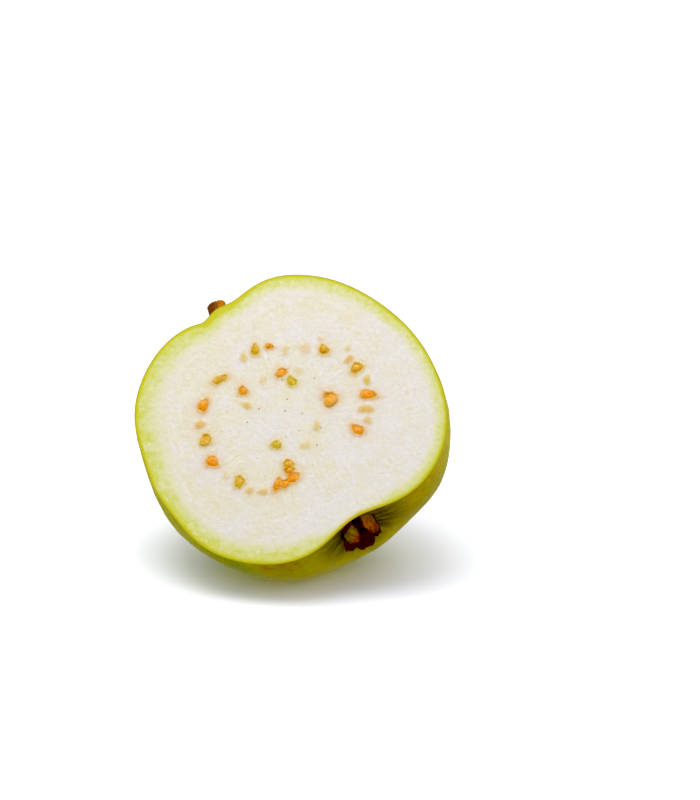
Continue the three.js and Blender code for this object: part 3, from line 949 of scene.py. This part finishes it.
def seeds_on_points(wiring, given):
    """A knobbly, pointed seed on each point, sized and turned by the point's own values."""
    ball = wiring.node("GeometryNodeMeshIcoSphere", {"Radius": 1, "Subdivisions": 4}, "Mesh")
    x, y, z = wiring.node("GeometryNodeInputPosition").parts()
    marked = wiring.node("GeometryNodeStoreNamedAttribute", {
        "Geometry": ball, "Name": "crown", "Value": z,
    }, data_type="FLOAT", domain="POINT")
    narrowed = wiring.combine(x, y * (1 - 0.28 * (x * x) - 0.12 * x), z)
    tilt = wiring.drawn((-0.3, -0.3, 0.0), (0.3, 0.3, 0.0), given["Draw"])
    turn = wiring.vector_math("ADD", tilt, wiring.named("turn", "FLOAT_VECTOR"))
    placed = wiring.node("GeometryNodeInstanceOnPoints", {
        "Points": given["Geometry"], "Rotation": turn,
        "Instance": wiring.geometry("SetPosition", marked, Position=narrowed),
        "Scale": wiring.named("size", "FLOAT_VECTOR"),
    })
    realized = wiring.geometry("RealizeInstances", placed)
    facets = wiring.node("GeometryNodeInputPosition").noise(1.4 * MM, detail=1.5).swing(2)
    raised = wiring.scaled(wiring.node("GeometryNodeInputNormal"), facets * given["Unevenness"])
    offset = wiring.vector_math("ADD", raised, wiring.combine(z=given["Sink"] * -1))
    moved = wiring.geometry("SetPosition", realized, Offset=offset)
    return wiring.geometry("SetMaterial", moved, Material=given["Material"])


@shading("guava_seed", ior=1.45, specular_ior_level=0.2, coat_weight=0.08, coat_roughness=0.15,
         subsurface_weight=0.12, subsurface_radius=(1.0, 0.8, 0.2), subsurface_scale=0.4 * MM)
def seed_material(wiring, place, seeds):
    """Hard seeds that shine orange or olive through a film of gel, thicker at their sides."""
    tone, crown, film = (wiring.attribute(name) for name in ("tone", "crown", "film"))
    patches = place.noise(0.9 * MM, detail=3)
    ripeness = wiring.math("ADD", tone, patches.swing(0.5), clamp=True)
    gel = wiring.mix(tone, seeds.orange_stain, seeds.olive_stain)
    colour = wiring.paint(
        ripeness.ramp((0, seeds.orange_colour), (0.5, seeds.amber_colour), (1, seeds.olive_colour)),
        (patches.span(0.48, 0.3, 0, 0.7), tint(168, 92, 0)),
        (patches.span(0.56, 0.68, 0, 0.6), tint(230, 186, 84)),
        ((crown + patches.swing(0.2)).span(0.84, 0.68, 0, 0.65), gel),
        ((film + patches.swing(0.3)).span(0, 0.35, 0, 0.8) * film.span(0, 0.1), gel))
    normal = wiring.bump((place.noise(0.6 * MM), 0.1 * MM))
    return colour, patches.span(0.3, 0.7, 0.2, 0.4), normal


class GUAVA_OT_seeds(bpy.types.Operator):
    """Sets the bare seeds in their pits in the cut face"""

    bl_idname = "guava.seeds"
    bl_label = "Seeds"

    def execute(self, context):
        seeds = context.scene.guava.seeds
        bare = [one for one in SEEDS if one.show >= BARE]
        piece = new_piece("bare_seeds", [(one.x, one.y, 0) for one in bare], [])
        # share of a seed's radius that shows where it leaves the face
        cap = math.sqrt(1 - (1 - seeds.rise / seeds.half_height) ** 2)
        store(piece.data,
              size=[(one.length / 2 / cap, one.width / 2 / cap, seeds.half_height) for one in bare],
              turn=[(0, 0, one.turn) for one in bare],
              tone=[one.tone for one in bare], film=[1 - one.show for one in bare])
        grow(piece, "Guava Seeds", seeds_on_points, {
            "Sink": seeds.half_height - seeds.rise, "Unevenness": seeds.unevenness,
            "Draw": seeds.draw, "Material": seed_material(seeds),
        })
        set_down(piece, "fruit_half")
        return {"FINISHED"}


# ---------- the stub of the stem ----------

STUB_LEAN = math.radians(-20)  # from the core's line, on the face
STUB_SHIFT = Vector((0.6, 0, 0)) * MM  # off the core's line
STUB_SLANT = 0.1  # slope of its broken end
STUB_FLARE = 0.3 * MM
STUB_COLUMNS = 96
STUB_RIBS = 5
STUB_RIM = ((0.2, 0.05), (0.5, 0), (0.8, -0.2), (1.2, -0.3))  # millimetres in and up from its edge
STUB_PITH = ((1.2, -0.3), (0.9, -0.4), (0.6, -0.9), (0.3, -1.1), (0, -1.1))  # radius, then up


def stub_point(radius, around, height, top, flare):
    """A point of the stub, with its bark, its ribs and its splintered end."""
    rise = min(max(height / top, 0), 1)
    rib = 0.02 * rise * math.cos(STUB_RIBS * around)
    bark = noise.fractal(polar(5, around, height / MM * 0.35), 1, 2, 3)
    ragged = 0.06 * MM * rise**4 * noise.noise(polar(2.4, around, 7))
    level = height * (1 - STUB_SLANT * rise * math.cos(around)) + ragged
    if height > 0.7 * top and radius < flare - 0.3 * MM:
        level += 0.3 * MM * noise.fractal(polar(radius / MM, around, 3), 1, 2, 3)
    return polar(radius * (1 + rib + 0.03 * bark * min(1, 0.3 + rise)), around, level)


def stub_mesh(stem):
    """A ribbed stub with a ragged, slanting end round a hollow pith."""
    top, flare = stem.height, stem.radius + STUB_FLARE
    profile = [(0, -stem.root), (stem.radius, -stem.root)]
    profile += [(stem.radius + STUB_FLARE * t, top * t - 0.1 * MM) for t in np.linspace(0, 1, 15)]
    profile += [(flare - inwards * MM, top + up * MM) for inwards, up in STUB_RIM]
    profile += [(radius * MM, top + up * MM) for radius, up in STUB_PITH]
    places, faces = turned(profile, STUB_COLUMNS)
    points = [stub_point(*place, top, flare) for place in places]
    piece = new_piece("stem_stub_bark", points, faces)
    radius, around, height = np.array(places).T
    share, rise = radius / flare, height / top
    # side goes from 1 on one side of the stub to -1 on the other; the bark's painted shade and
    # painted highlight follow it
    store(piece.data, grain=np.stack([np.cos(around) * 2, np.sin(around) * 2, rise], -1),
          broken=np.clip((rise - 0.93) / 0.07, 0, 1), from_pith=np.where(rise > 0.5, share, 1),
          side=-np.cos(around) * np.minimum(share * 1.5, 1))
    return piece


def close_seams(piece):
    """Merges points that coincide, such as a turned shape's two poles."""
    work = bmesh.new()
    work.from_mesh(piece.data)
    bmesh.ops.remove_doubles(work, verts=work.verts, dist=1e-6)
    bmesh.ops.dissolve_degenerate(work, edges=work.edges, dist=1e-7)
    bmesh.ops.recalc_face_normals(work, faces=work.faces)
    work.to_mesh(piece.data)
    work.free()


@shading("stem_bark", ior=1.45, specular_ior_level=0.2)
def stem_material(wiring, place, stem):
    """Dry brown bark with lighter ribs and a splintered orange end, with painted shade on one side
    and a painted orange highlight on the other.
    """
    streaks = wiring.attribute("grain", "Vector").noise(0.22, detail=4, roughness=0.65)
    patches = place.noise(1.6 * MM, detail=4)
    # which way the bark faces, for its painted shade and painted highlight
    side = wiring.attribute("side") + patches.swing(1.2)
    # the pale wood inside the bark and the dark pith inside the wood
    from_pith = wiring.attribute("from_pith") + patches.swing(0.25)
    wood = streaks.ramp((0.3, tint(120, 70, 20)), (0.5, tint(190, 132, 60)),
                        (0.7, tint(214, 168, 96)))
    colour = wiring.paint(
        stem.bark_colour,
        (streaks.span(0.4, 0.65), stem.wood_colour),
        # painted shade on one side of the stub, and a painted orange highlight on the other
        (side.span(0.6, -0.4, 0, 0.75), tint(84, 34, 2)),
        (side.span(0.1, 0.9, 0, 0.6), tint(218, 134, 8)),
        (patches.span(0.54, 0.72, 0, 0.6), tint(70, 26, 4)),
        (wiring.attribute("broken") * 0.6, tint(206, 124, 24)),
        (from_pith.span(0.88, 0.72), wood),
        (from_pith.span(0.4, 0.22), tint(64, 30, 8)))
    normal = wiring.bump((streaks, 0.18 * MM), (place.noise(0.4 * MM, detail=3), 0.08 * MM))
    return colour, patches.span(0.3, 0.7, 0.5, 0.85), normal


class GUAVA_OT_stem(bpy.types.Operator):
    """Builds the woody stub of the stem"""

    bl_idname = "guava.stem"
    bl_label = "Stem stub"

    def execute(self, context):
        stem = context.scene.guava.stem
        piece = stub_mesh(stem)
        close_seams(piece)
        piece.data.transform(end_frame(STEM, STUB_LEAN) @ Matrix.Translation(STUB_SHIFT))
        piece.data.materials.append(stem_material(stem))
        set_down(piece, "stem_stub")
        return {"FINISHED"}


# ---------- the calyx ----------

# at: place round the cup in degrees, with 90 on the side of the cut face; width and length in
# millimetres; out: lean at its root and curl: how far its tip is rolled in, in degrees; blunt: how
# full its tip is; pale: 0 where it is maroon, 1 where it dried tan; olive: how green it still is;
# root: the share of its length that is dark
Sepal = namedtuple("Sepal", "at width length out curl blunt pale olive root")
SEPALS = (
    Sepal(at=36, width=6.0, length=7.6, out=4, curl=45, blunt=4, pale=1.0, olive=0, root=0.15),
    Sepal(at=146, width=7.4, length=7.2, out=2, curl=80, blunt=4, pale=1.0, olive=1, root=0.42),
    Sepal(at=207, width=6.8, length=6.3, out=13, curl=-4, blunt=6, pale=0.15, olive=0.3, root=0.2),
    Sepal(at=266, width=7.2, length=7.2, out=8, curl=4, blunt=6, pale=0.1, olive=0, root=0.2),
    Sepal(at=324, width=5.8, length=6.4, out=8, curl=10, blunt=5, pale=0.1, olive=0, root=0.2),
)
SEPAL_STEPS_ALONG = 28
SEPAL_STEPS_ACROSS = 20
SEPAL_ROOT = -1.2 * MM  # how deep it starts in the cup's wall
CUP_PROFILE = ((0, -3.2), (4.8, -3.1), (5.4, -1.4), (5.6, 0.1), (5.35, 0.6), (4.9, 0.45),
               (4.5, -0.6), (3.9, -2.0), (2.4, -2.5), (0, -2.6))  # radius, height in millimetres
CUP_COLUMNS = 96
CUP_FLOOR_RADIUS, CUP_FLOOR_LEVEL = 3.6 * MM, -2.6 * MM  # where the stamens stand
CUP_FLOOR_SIDES = 24


def sepal_sheet(sepal, calyx, side, number):
    """One face of a sepal, row by row from its root to its tip."""
    points = []
    out = calyx.cup_radius - 0.8 * MM
    height = SEPAL_ROOT
    for i in range(SEPAL_STEPS_ALONG + 1):
        s = i / SEPAL_STEPS_ALONG
        lean = math.radians(sepal.out * min(1, 2 * s) - sepal.curl * s * s)
        if i > 0:
            out += math.sin(lean) * sepal.length * MM / SEPAL_STEPS_ALONG
            height += math.cos(lean) * sepal.length * MM / SEPAL_STEPS_ALONG
        half = sepal.width * MM / 2 * math.sqrt(1 - (0.97 * s) ** sepal.blunt)
        half *= 1 + 0.3 * noise.noise(Vector((3 * s, number, 0.5))) * s
        for j in range(SEPAL_STEPS_ACROSS + 1):
            t = 2 * j / SEPAL_STEPS_ACROSS - 1
            bend = (1 - math.cos(t * half / calyx.cup_radius)) * calyx.cup_radius
            thin = 1 - 0.55 * max(abs(t), s) ** 3
            wrinkle = 0.85 * MM * (0.25 + s) * noise.fractal(
                Vector((2.6 * t, 2.2 * s, 3.1 * number)), 0.8, 2, 4)
            rib = 0.1 * MM * math.cos(9 * t) * s * (1 - abs(t))
            shift = side * calyx.thickness * thin / 2 + wrinkle + rib
            ragged = 0.5 * MM * s**3 * noise.noise(Vector((4 * t, 5.7 * number, 2)))
            points.append(Vector((out - bend + shift * math.cos(lean), t * half,
                                  height - shift * math.sin(lean) + ragged * math.cos(lean))))
    return points


def sepals_piece(calyx):
    """All the sepals, with each point's paleness, greenness and place on its blade."""
    wide = SEPAL_STEPS_ACROSS + 1
    index = np.arange(wide * (SEPAL_STEPS_ALONG + 1)).reshape(-1, wide)
    a, b, c, d = index[:-1, :-1], index[:-1, 1:], index[1:, 1:], index[1:, :-1]
    sheets = np.stack([a, d, c, b, *(corner + index.size for corner in (a, b, c, d))], -1)
    border = np.concatenate([index[0, :-1], index[:-1, -1], index[-1, :0:-1], index[:0:-1, 0]])
    after = np.roll(border, -1)
    edges = np.stack([border, after, after + index.size, border + index.size], -1)
    one_sepal = np.concatenate([sheets.reshape(-1, 4), edges])
    s = np.repeat(np.arange(SEPAL_STEPS_ALONG + 1) / SEPAL_STEPS_ALONG, wide)
    t = np.tile(2 * np.arange(wide) / SEPAL_STEPS_ACROSS - 1, SEPAL_STEPS_ALONG + 1)
    points, faces, pale, olive, blade = [], [], [], [], []
    for number, sepal in enumerate(SEPALS):
        faces.extend(one_sepal + len(points))
        turn = Matrix.Rotation(math.radians(sepal.at), 3, "Z")
        for side in (-1, 1):
            points += [turn @ point for point in sepal_sheet(sepal, calyx, side, number + 1)]
            base = 1 - smooth_step(s, sepal.root - 0.1, sepal.root + 0.12)
            pale.extend(sepal.pale * (1 - 0.85 * np.maximum(np.abs(t) ** 6, base)))
            olive.extend(np.full(len(s), sepal.olive))
            blade.extend(np.stack([t * 2.5, s, np.full(len(s), number * 3 + side)], -1))
    piece = new_piece("sepals", points, faces)
    store(piece.data, pale=pale, olive=olive, blade=blade)
    return piece


def cup_piece():
    points = []
    places, faces = turned(CUP_PROFILE, CUP_COLUMNS)
    for radius, around, height in places:
        uneven = 1 + 0.05 * noise.fractal(polar(2, around, height * 0.4), 1, 2, 3)
        level = height + 0.35 * noise.noise(polar(3, around, radius))
        points.append(polar(radius * uneven, around, level) * MM)
    return new_piece("calyx_cup", points, faces)


def stamens_on_floor(wiring, given):
    """Dry stamens that stand scattered over the cup's floor."""
    spread = wiring.node("GeometryNodeDistributePointsOnFaces", {
        "Mesh": given["Geometry"], "Distance Min": 1.0 * MM, "Density Max": 1.2e6,
        "Seed": given["Draw"],
    }, "Points", distribute_method="POISSON")
    line = wiring.node("GeometryNodeCurvePrimitiveLine", {"End": wiring.combine(z=given["Length"])})
    finer = wiring.node("GeometryNodeResampleCurve", {"Curve": line, "Count": 7})
    ring = wiring.node("GeometryNodeCurvePrimitiveCircle", {
        "Resolution": 6, "Radius": given["Radius"],
    })
    along = wiring.node("GeometryNodeSplineParameter", output="Factor")
    tapered = wiring.node("GeometryNodeSetCurveRadius", {
        "Curve": finer, "Radius": along.span(0, 1, 1, 0.55),
    })
    tube = wiring.node("GeometryNodeCurveToMesh", {
        "Curve": tapered, "Profile Curve": ring, "Fill Caps": True,
    })
    placed = wiring.node("GeometryNodeInstanceOnPoints", {
        "Points": spread, "Instance": tube,
        "Rotation": wiring.drawn((-0.5, -0.5, 0.0), (0.5, 0.5, 6.28), given["Draw"]),
        "Scale": wiring.drawn(0.6, 1.25, given["Draw"]),
    })
    realized = wiring.geometry("RealizeInstances", placed)
    place = wiring.node("GeometryNodeInputPosition")
    wobble = wiring.node("ShaderNodeTexNoise", {"Vector": place, "Scale": 1 / (1.5 * MM)}, "Color")
    offset = wiring.vector_math("SUBTRACT", wobble, (0.5, 0.5, 0.5))
    bent = wiring.geometry("SetPosition", realized, Offset=wiring.scaled(offset, 1.2 * MM))
    return wiring.geometry("SetMaterial", bent, Material=given["Material"])


@shading("dry_calyx", ior=1.45, specular_ior_level=0.25)
def calyx_material(wiring, place, calyx):
    """Brittle, wrinkled sepals: near-black maroon, or tan to olive with a darker tip."""
    blade = wiring.attribute("blade", "Vector")
    veins = blade.noise(0.32, detail=4, roughness=0.65)
    patches = place.noise(2.2 * MM, detail=4, roughness=0.6)
    fine = place.noise(0.5 * MM, detail=3)
    along = blade.parts()[1] + patches.swing(0.7)
    tan = along.ramp((0.2, tint(190, 138, 8)), (0.5, calyx.tan_colour),
                     (0.75, tint(150, 70, 10)), (1, tint(84, 24, 12)))
    olive = along.ramp((0.2, tint(186, 164, 6)), (0.4, calyx.olive_colour),
                       (0.6, tint(146, 132, 8)), (0.78, tint(186, 106, 36)),
                       (1, tint(150, 60, 20)))
    pale = wiring.math("ADD", wiring.attribute("pale"), patches.swing(0.6), clamp=True)
    colour = wiring.paint(
        calyx.dark_colour,
        (pale.span(0.25, 0.75), wiring.mix(wiring.attribute("olive"), tan, olive)),
        (veins.span(0.48, 0.36, 0, 0.8), tint(84, 30, 8)),
        (pale.span(0.4, 0.9) * fine.span(0.58, 0.7) * 0.5, tint(186, 140, 62)))
    normal = wiring.bump((veins, 0.7 * MM), (patches, 0.9 * MM), (fine, 0.16 * MM))
    return colour, fine.span(0.3, 0.7, 0.42, 0.75), normal


class GUAVA_OT_calyx(bpy.types.Operator):
    """Builds the calyx's cup and its dry sepals"""

    bl_idname = "guava.calyx"
    bl_label = "Calyx"

    def execute(self, context):
        calyx = context.scene.guava.calyx
        material = calyx_material(calyx)
        for piece in (sepals_piece(calyx), cup_piece()):
            close_seams(piece)
            piece.data.transform(end_frame(CALYX))
            piece.data.materials.append(material)
            set_down(piece, "calyx_crown")
        return {"FINISHED"}


class GUAVA_OT_stamens(bpy.types.Operator):
    """Scatters the dry stamens over the floor of the calyx's cup"""

    bl_idname = "guava.stamens"
    bl_label = "Stamens"

    def execute(self, context):
        calyx = context.scene.guava.calyx
        turns = np.linspace(0, TAU, CUP_FLOOR_SIDES, endpoint=False)
        ring = [polar(CUP_FLOOR_RADIUS, turn, CUP_FLOOR_LEVEL) for turn in turns]
        piece = new_piece("stamens", ring, [range(CUP_FLOOR_SIDES)])
        grow(piece, "Guava Stamens", stamens_on_floor, {
            "Length": calyx.stamen_length, "Radius": calyx.stamen_radius, "Draw": calyx.draw,
            "Material": calyx_material(calyx),
        })
        piece.data.transform(end_frame(CALYX))
        set_down(piece, "calyx_crown")
        return {"FINISHED"}


# ---------- the stage ----------

FLOOR_GAP = 0.1 * MM  # below the part
SKY_UNDER = (0.22, 0.21, 0.13)
# from straight down to straight up: where it starts and ends, and its colour
SKY_BANDS = (
    (-0.95, -0.2, (0.84, 0.8, 0.46)),
    (-0.1, -0.03, (1.0, 1.0, 1.0)),
    (0.04, 0.22, (0.56, 0.58, 0.66)),
    (0.3, 0.95, (1.5, 1.51, 1.55)),
)
BLACK_LEVEL = 0.015  # darker than this is black
KEY_TURN, KEY_RISE = math.radians(-28), math.radians(78)
KEY_AWAY, KEY_SIZE = 0.4, 0.3
KEY_COLOUR = (1, 0.99, 0.97)
CAMERA_AWAY = 640 * MM  # from the middle of the cut face
CAMERA_TURN = math.radians(14.4)  # where the camera stands, as seen from there
CAMERA_RISE = math.radians(18)


def looking_back(azimuth, elevation):
    """Unit vector from what is looked at to the camera."""
    return Vector((math.sin(azimuth) * math.cos(elevation),
                   -math.cos(azimuth) * math.cos(elevation), math.sin(elevation)))


@shading("studio_floor", roughness=0.9, specular_ior_level=0)
def floor_material(wiring, place, stage):
    """A white surface with a trace of cool grain."""
    grain = place.noise(30 * MM).span(0.3, 0.7, 0, 0.15)
    return [wiring.mix(grain, stage.floor_colour, tint(246, 247, 253))]


def lay_floor(stage):
    half = stage.floor_size / 2
    corners = [(-half, -half), (half, -half), (half, half), (-half, half)]
    floor = new_piece("floor", [(*corner, -FLOOR_GAP) for corner in corners], [range(4)])
    floor.data.materials.append(floor_material(stage))
    # the sky below the horizon stands for the light that comes back off the floor
    floor.visible_diffuse = False
    floor.visible_glossy = False


def light_scene(stage):
    """The sky all round and one large soft light above."""
    world = bpy.data.worlds.new("studio_sky")
    bpy.context.scene.world = world
    world.use_nodes = True
    wiring = Wiring(world.node_tree)
    rise = wiring.node("ShaderNodeTexCoord", output="Generated").parts()[2]
    sky = wiring.paint(SKY_UNDER, *((rise.span(start, end), tone) for start, end, tone in SKY_BANDS))
    background = world.node_tree.nodes["Background"]
    wiring.tree.links.new(sky.socket, background.inputs["Color"])
    background.inputs["Strength"].default_value = stage.sky_strength
    lamp = bpy.data.lights.new("key_light", "AREA")
    lamp.shape = "DISK"
    lamp.size, lamp.energy, lamp.color = KEY_SIZE, stage.key_power, KEY_COLOUR
    light = add_object("key_light", lamp)
    back = looking_back(KEY_TURN, KEY_RISE)
    light.location = FACE_MIDDLE + back * KEY_AWAY
    light.rotation_euler = back.to_track_quat("Z", "Y").to_euler()


def place_camera(stage):
    camera = add_object("camera", bpy.data.cameras.new("camera"))
    camera.data.lens = stage.focal_length
    camera.data.sensor_width = 36
    camera.data.clip_start, camera.data.clip_end = 0.01, 50
    camera.location = FACE_MIDDLE + looking_back(CAMERA_TURN, CAMERA_RISE) * CAMERA_AWAY
    camera.rotation_euler = (math.pi / 2 - stage.camera_elevation, 0, stage.camera_azimuth)
    bpy.context.scene.camera = camera
    view = bpy.context.scene.view_settings
    view.view_transform = "Standard"
    view.use_curve_mapping = True
    view.curve_mapping.black_level = (BLACK_LEVEL,) * 3
    view.curve_mapping.update()


class GUAVA_OT_stage(bpy.types.Operator):
    """Sets up the floor, the soft light and the camera"""

    bl_idname = "guava.stage"
    bl_label = "Stage"

    def execute(self, context):
        stage = context.scene.guava.stage
        lay_floor(stage)
        light_scene(stage)
        place_camera(stage)
        return {"FINISHED"}


# ---------- the add-on ----------


class GUAVA_PT_panel(bpy.types.Panel):
    """The guava's builders and settings in the sidebar"""

    bl_idname = "GUAVA_PT_panel"
    bl_label = "Guava half"
    bl_space_type = "VIEW_3D"
    bl_region_type = "UI"
    bl_category = "Guava"

    def draw(self, context):
        settings = context.scene.guava
        for operator, group in BUILD_ORDER:
            box = self.layout.box()
            box.operator(operator.bl_idname)
            shown = getattr(settings, group)
            for name in type(shown).__annotations__:
                box.prop(shown, name)


BUILD_ORDER = (
    (GUAVA_OT_fruit, "fruit"),
    (GUAVA_OT_seeds, "seeds"),
    (GUAVA_OT_stem, "stem"),
    (GUAVA_OT_calyx, "calyx"),
    (GUAVA_OT_stamens, "calyx"),
    (GUAVA_OT_stage, "stage"),
)
CLASSES = (FruitSettings, SeedSettings, StemSettings, CalyxSettings, StageSettings, GuavaSettings,
           *(operator for operator, _ in BUILD_ORDER), GUAVA_PT_panel)


def register():
    for cls in CLASSES:
        bpy.utils.register_class(cls)
    bpy.types.Scene.guava = PointerProperty(name="Guava", description="Settings of the guava half",
                                            type=GuavaSettings)


def unregister():
    del bpy.types.Scene.guava
    for cls in reversed(CLASSES):
        bpy.utils.unregister_class(cls)


def main():
    register()
    for operator in (bpy.ops.guava.fruit, bpy.ops.guava.seeds, bpy.ops.guava.stem,
                     bpy.ops.guava.calyx, bpy.ops.guava.stamens, bpy.ops.guava.stage):
        operator()


if __name__ == "__main__":
    main()
